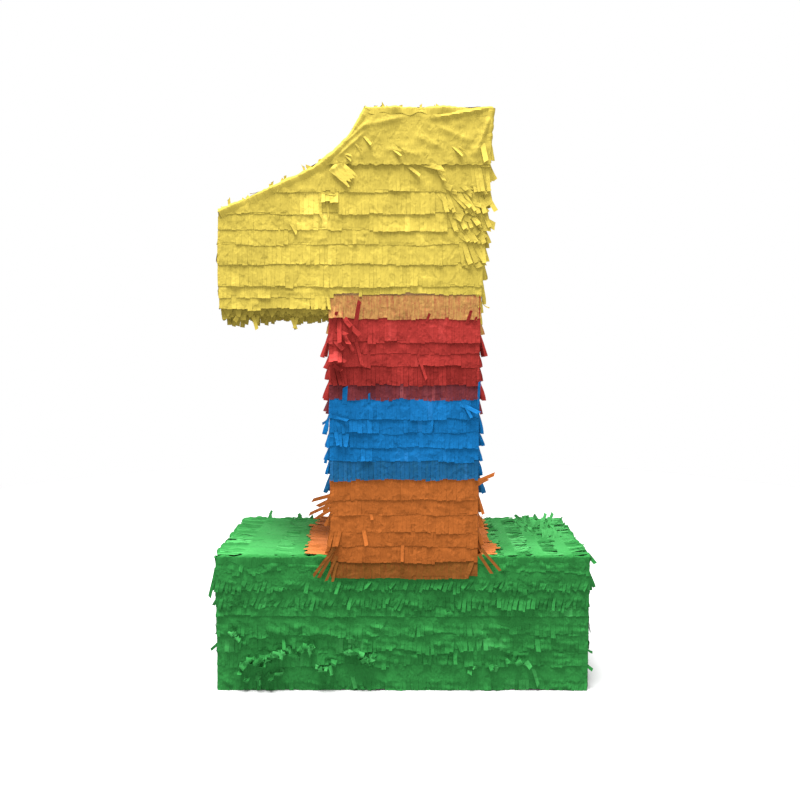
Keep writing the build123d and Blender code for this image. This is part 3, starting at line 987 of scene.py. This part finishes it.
def flag():
    """The yellow rows, from the top down."""

    def scales(at, width, sway):
        return Tuft(at, width, sway=sway, curl=10.0, lift=2.2, slim=0.95, mess=5.0, tone=-0.3)

    flag_row("yellow_row_1", [Tuft(70.0, 16.0, sway=8.0, lift=2.0, curl=6.0), Tuft(-10.0, 60.0, lift=0.8)],
             raised=(-62, 8))
    flag_row("yellow_row_2", [scales(54.0, 46.0, 24.0), Tuft(-66.0, 13.0, shorter=8.0, lift=5.0, curl=18.0)],
             low_scales(34, 74, 478, 464, 9), raised=(-92, 30))

    def notch(mesh, rng):
        low_scales(38, 78, 462, 440, 13)(mesh, rng)
        on_front([
            (-75, 468, -74, 446, 3.2, 3, 12, 10, 0.8), (-69, 464, -67, 446, 3.2, 3, 12, -15, 0.8),
            (-76, 469, -60, 466, 3.0, 4, 5, 10, 0.8), (-104, 446, -96, 432, 4.5, 4, 20, 20, 0.5),
        ], calm=FLAT)(mesh, rng)

    flag_row("yellow_row_3", [scales(60.0, 38.0, 18.0)], notch, raised=(-112, 41))
    flag_row("yellow_row_4", [scales(64.0, 26.0, 15.0)], low_scales(50, 76, 440, 430, 7), raised=(-152, 42))
    flag_row("yellow_row_5", [scales(62.0, 24.0, 12.0)], low_scales(52, 76, 416, 404, 6), raised=(-163, 42))
    flag_row("yellow_row_6", raised=(-163, 14))
    flag_row("yellow_row_7", stem_low=377.0)
    flag_row("yellow_row_8", [Tuft(-70.0, 30.0, mess=10.0, lift=4.0)], stem_low=376.0)


def top_sheet():
    """The creased sheet round the top of the flag, folded over its edges."""
    mesh = PaperMesh("yellow_top_sheet")
    low = span(mesh.node)[0][2]
    length = TOP - low
    left = -74.0
    right = float(right_edge((TOP + low) / 2))
    middle = (left + right) / 2

    def place(x, z):
        return (x - middle, TOP - z)

    creases = [
        (place(82, 543), place(22, 533), 1.4, 2.4), (place(81, 541), place(64, 498), 1.4, 2.3),
        (place(-40, 526), place(6, 536), 1.6, 1.4), (place(-62, 497), place(-30, 525), 1.8, 1.2),
        (place(30, 528), place(62, 512), 2.4, 1.0), (place(-20, 508), place(20, 500), 2.4, 0.9),
        (place(-66, 500), place(-20, 540), 1.6, 1.0), (place(10, 520), place(40, 505), 2.4, 0.8),
    ]
    wall = front_wall(left, right, TOP)
    plain_sheet(mesh, 1, wall, length, start=slope_start(middle, 1, TOP), ragged=0.45,
                creases=creases, lift_off=1.1, wrinkle=0.9, stack=0.022, tone=-1.3)
    wall = back_wall(left, right, TOP)

    def above_flap(across):
        x = middle - across
        crosses = (x > FLAP_LOW[0] - 1) & (x < FLAP_HIGH[0] + 1)
        return np.where(crosses, TOP - FLAP_HIGH[2] - CREASE_ROOM, length)

    plain_sheet(mesh, 2, wall, length, start=slope_start(middle, -1, TOP), end=above_flap,
                ragged=0.5, lift_off=0.7, wrinkle=0.9)
    wall = side_wall(right_edge, TOP, low - SIDE_DROP, 1)
    plain_sheet(mesh, 3, wall, 28, ragged=1.8, lift_off=1.2)
    side_strip(mesh, 14, right_edge, TOP - 16, TOP - 44, 1)
    side_strip(mesh, 15, right_edge, TOP - 32, low - SIDE_DROP, 1)
    wall = Wall((TOP_LEFT[0], 0, TOP), RIGHT, UP, DEPTH)
    plain_sheet(mesh, 4, wall, TOP_RIGHT - TOP_LEFT[0], lift_off=1.2)
    for y, face in FACES:
        path = line((TOP_LEFT[0] - 1, y, TOP), (TOP_RIGHT, y, TOP))
        roll(mesh, 5 + (y > 0), path, face, UP, off=1.7, rough=0.6, ends=(1.7, 0.9))
        heights = line((0, 0, TOP), (0, 0, low - 2))[:, 2]
        path = np.stack([right_edge(heights), np.full_like(heights, y), heights], -1)
        roll(mesh, 7 + (y > 0), path, face, RIGHT, off=2.7, rough=0.6, ends=(1.5, 0.8))
    path = line((TOP_RIGHT, FRONT, TOP), (TOP_RIGHT, BACK, TOP))
    roll(mesh, 11, path, RIGHT, UP, off=1.7, rough=0.6, ends=(0.9, 0.9))
    for y, face in FACES:
        corner_cap(mesh, (TOP_RIGHT, y, TOP), UP, face, RIGHT, 1.9)
    on_front([
        (-17, 514, -1, 500, 4.5, 4, 15, 45, 0.2), (-13, 515, 3, 503, 3.0, 5, 10, -20, -0.2),
        (40, 515, 54, 500, 4.5, 4, 15, 45, 0.2), (45, 513, 57, 504, 3.0, 4, 20, -20, -0.3),
        (-39, 524, -28, 510, 4.0, 4, 15, 35, 0.2), (70, 520, 75, 495, 7.0, 6, 8, 15, 2.0),
        (28, 509, 20, 499, 2.2, 4, 10, 10, 0.3), (-58, 508, -46, 496, 3.6, 5, 10, 25, 0.2),
        (14, 495, 37, 489, 6.0, 5, 10, 10, 0.3), (-48, 517, -36, 504, 3.2, 5, 20, -25, 0.0),
        (-66, 500, -53, 492, 3.6, 5, 10, -20, 0.2), (-61, 505, -46, 501, 3.2, 5, 10, 20, 0.1),
        (30, 492, 38, 478, 4.0, 4, 20, 25, -0.4), (2, 494, 16, 483, 4.0, 4, 12, 20, -0.6),
    ])(mesh, mesh.rng(9))
    # The torn flap's tone of 2.0 lightens it: a painted highlight.
    torn = Wall((-62, FRONT - 1.8, 493), (0.76, -0.07, -0.65), (0, -1, 0.05), 14)
    plain_sheet(mesh, 10, torn, 32, start=lambda a: np.clip(0.9 * a, 0, 9),
                end=lambda a: 25 - 0.9 * np.abs(a + 2), ragged=3.4, lift_off=0.5, wrinkle=1.9, tone=2.0,
                bow=0.3, cell=0.9)
    finish_piece(mesh, "shell")


def slope_cover():
    """Fringed strips down the slope, which each follow a chord of its curve, and its rolled edges."""
    mesh = PaperMesh("slope_cover")
    rows = 9
    pitch = SLOPE.length / rows
    loose = Style(lift=4.0, lift_spread=2.5, stray=0.02, sway_spread=3.0, clump_ragged=2.0, slim=0.93)
    calm = loose.but(lift=1.0, lift_spread=0.8, stray=0.0)
    for number in reversed(range(rows)):
        begin = max(0.0, number * pitch - 8)
        length = min(pitch + (12 if number else 4), SLOPE.length - begin - 1)
        point, far = SLOPE.at(begin)[0], SLOPE.at(begin + length)[0]
        down = unit(far - point)
        out = np.array([-down[2], 0, down[0]]) * (1 if down[0] > 0 else -1)
        low = number > rows / 2
        style = calm if low else loose
        fringe(mesh, number, Wall(point, down, out, DEPTH), length, 7.0, style)
    steps = [SLOPE.at(d) for d in np.linspace(0, SLOPE.length, 70)]
    path = np.array([s[0] for s in steps])
    outs = np.array([s[2] for s in steps])
    for y, face in FACES:
        roll(mesh, 20 + (y > 0), path + AWAY * y, face, outs, reach=6.0, off=2.7, rough=0.5,
             ends=(0.9, 0.4))
    ridge_path = line((TOP_LEFT[0], FRONT, TOP), (TOP_LEFT[0], BACK, TOP))
    roll(mesh, 22, ridge_path, outs[0], UP, reach=4.0, off=1.9, rough=0.3, ends=(0.4, 0.4))
    tip = line((TIP_TOP[0], FRONT, TIP_TOP[1]), (TIP_TOP[0], BACK, TIP_TOP[1]))
    roll(mesh, 23, tip, LEFT, UP, off=1.7, rough=0.5, ends=(0.5, 0.5))
    for y, face in FACES:
        corner_cap(mesh, (TIP_TOP[0], y, TIP_TOP[1]), outs[-1], face, LEFT, 1.9)
    # The loose fingers above the slope get a pale tone: painted light, for light that shines through the thin
    # paper.
    rng = mesh.rng(30)
    on_slope, on_top = 18, 8
    count = on_slope + on_top
    x = np.concatenate([rng.uniform(TIP_TOP[0] + 4, TOP_LEFT[0], on_slope),
                        rng.uniform(TOP_LEFT[0], TOP_RIGHT - 4, on_top)])
    root = np.stack([x, -(SLOPE.height(x) - 1.0), np.full(count, -0.5)], -1)
    ribbons(mesh, rng, FRONT_FACE, root, rng.uniform(2.0, 4.5, count),
            np.where(x < TOP_LEFT[0], rng.uniform(3, 9, count), rng.uniform(3, 5.5, count)),
            heading=rng.uniform(150, 250, count), lift=rng.uniform(-5, 12, count),
            tone=rng.uniform(0.5, 2.5, count))
    finish_piece(mesh, "shell")


def underside():
    """The sheet under the flag, with two curtains and four ragged fringes that hang from it. The curtains,
    fringes and loose fingers are darkened as painted shade.
    """
    mesh = PaperMesh("underside_fringe")
    width = STEM_LEFT - TIP_BOTTOM[0] + TIP_BULGE
    plain_sheet(mesh, 1, Wall((STEM_LEFT, 0, UNDER), LEFT, DOWN, DEPTH), width)
    middle = (STEM_LEFT + TIP_BOTTOM[0] - TIP_BULGE) / 2
    style = Style(lift=2, sway_spread=5, stray=0.03, ragged=1.3, clump_ragged=2.4, finger=3.4, slim=1.1,
                  clump=3)
    # tone=-4.5 darkens the curtains: painted shade under the flag.
    for number, (y, drop) in enumerate(((FRONT + 1.2, 6.0), (FRONT + 6, 9.0))):
        curtain = Wall((middle, y, UNDER - 0.2), DOWN, NEAR, width)
        plain_sheet(mesh, 11 + number, curtain, drop, ragged=1.6, tone=-4.5)
    # tone=-4.5 darkens the fringes: painted shade under the flag.
    for number, (y, drop) in enumerate(((FRONT + 2.5, 9.0), (FRONT + 9, 13.0), (0, 12.0), (BACK - 3, 10.0))):
        wall = Wall((middle, y, UNDER - 0.5), DOWN, NEAR, width)
        fringe(mesh, 2 + number, wall, drop, 2.0, style, tone=-4.5)
    # tone=-6 darkens these loose fingers: painted shade under the flag.
    face = Wall((0, FRONT + 2, 0), DOWN, NEAR, 1)
    root = [(-138, -358, 1.0), (-133, -358, 1.0), (-102, -356, 1.0), (-97, -356, 1.0), (-150, -360, 1.0)]
    ribbons(mesh, mesh.rng(8), face, root, [3.5, 3, 4, 3, 4], [14, 12, 12, 11, 9],
            heading=[18, -10, 20, -15, -30], lift=4, curl=[20, -10, 15, 30, 10], twist=15, tone=-6)
    finish_piece(mesh, "shell")


def stem():
    """The rows from the tan one down to the one that laps over the base."""
    messy = Tuft(-58.0, 16.0, sway=8.0, curl=20.0, lift=7.0, twist=15.0, slim=0.9, mess=16.0)
    stem_row("yellow_over_red_row", [Tuft(-60, 12, lift=6, curl=20)])
    stem_row("red_row_1", [messy], on_front([
        (-46, 334, -39, 372, 7.0, 7, 12, 35, 0.5), (-50, 332, -47, 349, 5.0, 8, 30, -30, 0.0),
        (22, 352, 25, 360, 3.5, 8, 20, 20, 0.5), (59, 350, 63, 363, 4.5, 9, 20, 25, 0.5),
        (65, 350, 68, 357, 3.0, 9, 20, 25, 0.0), (-63, 350, -60, 362, 4.0, 8, 25, 20, 0.0),
        (-62, 345, -50, 340, 5.0, 12, 30, 25, -0.5), (-55, 341, -48, 330, 6.0, 12, 40, 25, 0.5),
        (-44, 338, -37, 312, 5.0, 3, 10, 20, 0.0), (70.9, 376, 70.4, 353, 1.3, 0, 0, 0, 0.0),
    ]), tone=0.8)
    stem_row("red_row_2", [messy])
    stem_row("red_row_3", [Tuft(-60, 12, curl=60, lift=9)], on_front([
        (14, 322, 22, 299, 3.2, 4, 6, 15, 1.0), (-60, 320, -50, 314, 5.0, 10, 60, 20, 0.0),
        (-64, 312, -54, 306, 5.0, 10, 50, 20, 0.5),
    ]))
    stem_row("red_row_4", [Tuft(-60, 14, sway=8, lift=4, curl=12)], tone=-4.3, style=THIN_STYLE)
    stem_row("red_over_blue_row", style=THIN_STYLE)
    stem_row("blue_row_1", extras=on_front([
        (-54, 276, -53, 292, 6.0, 2, 3, 5, 0.5), (-31, 277, -31, 286, 3.6, 3, 5, 10, 0.5),
        (70, 272, 71, 297, 3.0, 2, 3, 10, 0.0), (54, 276, 71, 268, 5.5, 5, 25, 20, 1.6),
        (56, 279, 64, 263, 3.6, 5, 20, 20, 0.6), (-64, 264, -50, 261, 3.6, 5, 20, 20, 0.6),
    ]))
    stem_row("blue_row_2", [Tuft(-40, 22, sway=2, lift=3, curl=12), Tuft(-60, 10, mess=8)])
    stem_row("blue_row_3", [Tuft(-56, 14, lift=4, curl=15, mess=5)])
    stem_row("blue_row_4", [Tuft(-34, 10, lift=3, curl=12)])
    stem_row("blue_over_orange_row", style=THIN_STYLE)
    stem_row("orange_row_1", extras=on_front([
        (-66, 190, -85, 186, 5.0, 8, 15, 20, 1.0), (-66, 186, -80, 180, 5.0, 8, 15, 20, 0.5),
        (70, 203, 86, 211, 5.5, 8, 10, 20, 1.5), (70, 200, 80, 206, 4.0, 10, 10, 20, 0.0),
    ]))
    stem_row("orange_row_2", extras=on_front([
        (-67, 181, -88, 173, 5.0, 9, 15, 20, 0.5), (-67, 177, -82, 168, 5.0, 9, 15, 20, 0.0),
        (-30, 172, -28, 166, 4.0, 9, 60, 20, 0.0),
    ]))
    stem_row("orange_row_3", [Tuft(50, 40, shorter=-2.0)])
    stem_row("orange_row_4", [Tuft(-62, 12, sway=-10, lift=6, curl=15)], style=Style(stack=0.06), tone=-1.5)
    stem_row("orange_row_5", tone=-2.1, style=Style(stack=0.10))
    stem_row("orange_over_green_row", tone=-1.7, style=Style(stack=0.13, tone_spread=1.2, slim=0.95),
             extras=on_front([
        (-64, 140, -84, 114, 4.5, 5, 8, 10, 0.5), (-66, 135, -79, 112, 4.0, 5, 8, 20, 0.0),
        (-62, 132, -72, 109, 4.0, 5, 8, 15, 0.5), (-62, 126, -66, 108, 4.0, 5, 8, -15, 0.0),
        (74, 139, 92, 119, 4.5, 6, 8, 15, 1.0), (72, 134, 84, 116, 4.0, 6, 8, 10, 0.5),
    ], depth=3.0))


def base():
    """The band along the base's top edge, which leaves out the stem, and the rows below it."""
    band = Style(wrinkle=1.6, lift=2.0, wave=1.8, ragged=0.8, clump=9, curl_spread=8.0, stack=0.06)

    def beside_stem(x):
        return np.where((x > STEM_LEFT - 4) & (x < STEM_RIGHT + 4), SHOULDER, 0)

    base_row("green_band", band, start=beside_stem)
    for number in (1, 2):
        base_row(f"green_row_{number}", SLANTED_STYLE, calm_sides=number == 2, fingers=11.0, tone=-1.2)
    base_row("green_row_3", Style(lift=4.5, lift_spread=1.0, wrinkle=1.8, wave=0.0, ragged=0.2, stray=0.0,
                                  tone_spread=1.0))
    base_row("green_row_4", GREEN_STYLE,
             [Tuft(-60, 30, lift=5, curl=15), Tuft(70, 24, lift=5, mess=6)], fingers=13.0)
    base_row("green_row_5", GREEN_STYLE,
             [Tuft(-48, 32, lift=3, tone=2.4), Tuft(60, 40, curl=25, lift=5, mess=6)],
             rolled_up([((-99, 43), (-84, 44), 6), ((-164, 60), (-156, 52), 3)]), fingers=13.0)
    base_row("green_row_6", GREEN_STYLE, [Tuft(-78, 40, lift=4, curl=12), Tuft(30, 30, lift=6, mess=8)],
             rolled_up([((-153, 30), (-108, 41), 20), ((-54, 38), (-42, 41), 5), ((-42, 38), (-34, 30), 5),
                        ((-33, 30), (-25, 38), 5), ((-84, 25), (-64, 26), 6), ((-150, 12), (-112, 20), 7),
                        ((60, 22), (120, 30), 7)]), fingers=13.0)
    base_row("green_row_7", FLAT_GREEN_STYLE, fingers=12.0, extras=on_front([
        (-50, 21, -45, 2, 5.0, 4, 10, 15, 2.5), (-42, 14, -38, 1, 4.0, 4, 20, 15, 1.5),
        (124, 26, 130, 5, 5.0, 4, 10, 15, 2.5), (-176, 120, -183, 92, 5.0, 2, 5, 30, 1.5),
        (-176, 46, -183, 40, 4.0, 4, 10, 20, 0.5), (174, 26, 182, 20, 4.0, 4, 10, 20, 0.5),
    ], depth=0.6), overrun=1.6)


TOP_LAP = 9.0


def base_top(node, stem_x, side, number_of_rows, style):
    """Fringed strips on the base's top face, its rolled edges and the tufts that stand on it. The strips and
    tufts are lightened by their tone, as painted light.
    """
    mesh = PaperMesh(node)
    pitch = (BASE_X - abs(stem_x)) / number_of_rows
    for number in reversed(range(number_of_rows)):
        wall = lying_wall(stem_x + side * max(0.0, pitch * number - TOP_LAP), side)
        length = pitch + (TOP_LAP if number else 0) - (1 if number == number_of_rows - 1 else 0)
        # tone=3.0 lightens the strips on the top face: painted light from above.
        fringe(mesh, number, wall, length, 0.62 * pitch + 4, style, lift_off=0.7, tone=3.0)
    inner, outer = stem_x + side * 1.0, side * BASE_X
    edge = dict(off=1.9, rough=0.8, ends=(1.0, 0.5), tone=1.5)
    for y, face in FACES:
        path = line((inner, y, SHOULDER), (outer, y, SHOULDER))
        roll(mesh, 10 + (y > 0), path, face, UP, reach=6.5, **edge)
        corner_cap(mesh, (outer, y, SHOULDER), UP, face, RIGHT * side, 2.2)
    path = line((outer, FRONT, SHOULDER), (outer, BACK, SHOULDER))
    roll(mesh, 12, path, RIGHT * side, UP, reach=8.0, **edge)
    # The standing tufts below get a high tone: painted light, so their shaded sides look lit.
    rng = mesh.rng(13)
    if side < 0:
        rising = Wall((0, BACK - 3, SHOULDER), UP, AWAY, 1)
        root = [(-150, 0, 0), (-146, 0, 0), (-118, 0, 0), (-112, 0, 0), (-104, 0, 0)]
        ribbons(mesh, rng, rising, root, 4.0, [12, 10, 8, 9, 7], heading=[20, -15, 35, -30, 40], lift=25,
                tone=4)
    else:
        count = 9
        for y in (-10, 12, 30, 46, 58):
            rising = Wall((0, y, SHOULDER), UP, AWAY, 1)
            root = np.stack([rng.uniform(128, 164, count), np.full(count, 0.5), np.full(count, 1.0)], -1)
            ribbons(mesh, rng, rising, root, 4.5, rng.uniform(9, 20, count),
                    heading=rng.uniform(-60, 60, count), lift=rng.uniform(25, 70, count),
                    curl=rng.uniform(-20, 60, count), tone=4.5, twist=20)
        corner = [(176, -(SHOULDER + 2), 0)]
        ribbons(mesh, rng, FRONT_FACE, corner, 4, 10, heading=40, lift=5, curl=20, tone=1.5)
    finish_piece(mesh, "shell")


def orange_patches():
    """Orange fringe that lies on the base on both sides of the stem's foot, and splays out above it."""
    mesh = PaperMesh("orange_base_patches")
    style = Style(lift=1.5, lift_spread=1.0, sway_spread=2.0, ragged=1.5, clump_ragged=1.5, curl_spread=4,
                  stray=0.0)
    splay = Style(lift=12.0, lift_spread=4.0, curl=45.0, slim=0.95, clump_ragged=1.5, stray=0.0)
    for side, x, reach in ((-1, STEM_LEFT, 26.0), (1, STEM_RIGHT, 19.0)):
        wall = lying_wall(x, side)
        # tone=3.2 makes the lying fringe pale: painted light on the top face.
        fringe(mesh, side + 1, wall, reach, 3.0, style, lift_off=2.6, tone=3.2)
        turn = side_wall(lambda z: x, SHOULDER + 14, SHOULDER + 1, side)
        fringe(mesh, 4 + side, turn, 19, 3.0, splay, tone=0.8)
    finish_piece(mesh, "shell")


def bottom_cover():
    mesh = PaperMesh("bottom_cover")
    wall = Wall((-BASE_X, 0, 0.45), RIGHT, DOWN, DEPTH)
    plain_sheet(mesh, 0, wall, 2 * BASE_X, wrinkle=0.0, lift_off=0.4, cell=4.0)
    finish_piece(mesh, "shell")


def flap_rows():
    """The rows that cross the fill flap, which swing with it."""
    mesh = PaperMesh("flap_rows")
    edges = [span(f"yellow_row_{n}")[0][2] for n in range(1, 5)] + [FLAP_LOW[2] + 0.5]
    left, right = FLAP_LOW[0] + 1, FLAP_HIGH[0] - 1
    top = FLAP_HIGH[2] - CREASE_ROOM
    for number, low in enumerate(edges):
        wall = back_wall(left, right, top)
        wall.width = right - left
        cut = CUT if number else TOP_FLAP_CUT
        fringe(mesh, number, wall, top - low, cut, BACK_STYLE)
        top = low + OVERLAP
    finish_piece(mesh, "flap")


flag()
top_sheet()
slope_cover()
underside()
stem()
base()
base_top("green_top_rows_left", STEM_LEFT, -1, 2, LEFT_TOP_STYLE)
base_top("green_top_rows_right", STEM_RIGHT, 1, 4, RIGHT_TOP_STYLE)
orange_patches()
bottom_cover()
flap_rows()

for node_name, node_object in frame["nodes"].items():
    if SLOT_OF[node_name] == "kraft_board":
        node_object.data.materials.clear()
        node_object.data.materials.append(KRAFT)


# ---------------------------------------------------------------- floor, light and world
FLOOR_RADIUS = 1.2  # metres
FLOOR_SIDES = 96


def floor():
    turns = np.linspace(0, 2 * math.pi, FLOOR_SIDES, endpoint=False)
    rim = [(FLOOR_RADIUS * math.cos(a), FLOOR_RADIUS * math.sin(a), 0) for a in turns]
    mesh = bpy.data.meshes.new("floor")
    mesh.from_pydata(rim, [], [list(range(FLOOR_SIDES))])
    made = bpy.data.materials.new("floor")
    made.use_nodes = True
    shader = made.node_tree.nodes["Principled BSDF"]
    shader.inputs["Base Color"].default_value = (0.42, 0.42, 0.42, 1)
    shader.inputs["Roughness"].default_value = 0.9
    mesh.materials.append(made)
    add_object("floor", mesh)


def area_light(name, location, target, size, power):
    data = bpy.data.lights.new(name, "AREA")
    data.shape = "RECTANGLE"
    data.size, data.size_y = size
    data.energy = power
    lamp = add_object(name, data)
    lamp.location = location
    lamp.rotation_euler = (Vector(target) - Vector(location)).to_track_quat("-Z", "Y").to_euler()


def studio():
    world = bpy.data.worlds.new("studio")
    world.use_nodes = True
    world.node_tree.nodes["Background"].inputs["Color"].default_value = (1, 1, 1, 1)
    world.node_tree.nodes["Background"].inputs["Strength"].default_value = 1.0
    bpy.context.scene.world = world
    area_light("top_light", (-0.25, -0.45, 2.35), (0, 0, 0.3), (1.3, 1.0), 215)
    bpy.context.scene.view_settings.view_transform = "Standard"


floor()
studio()
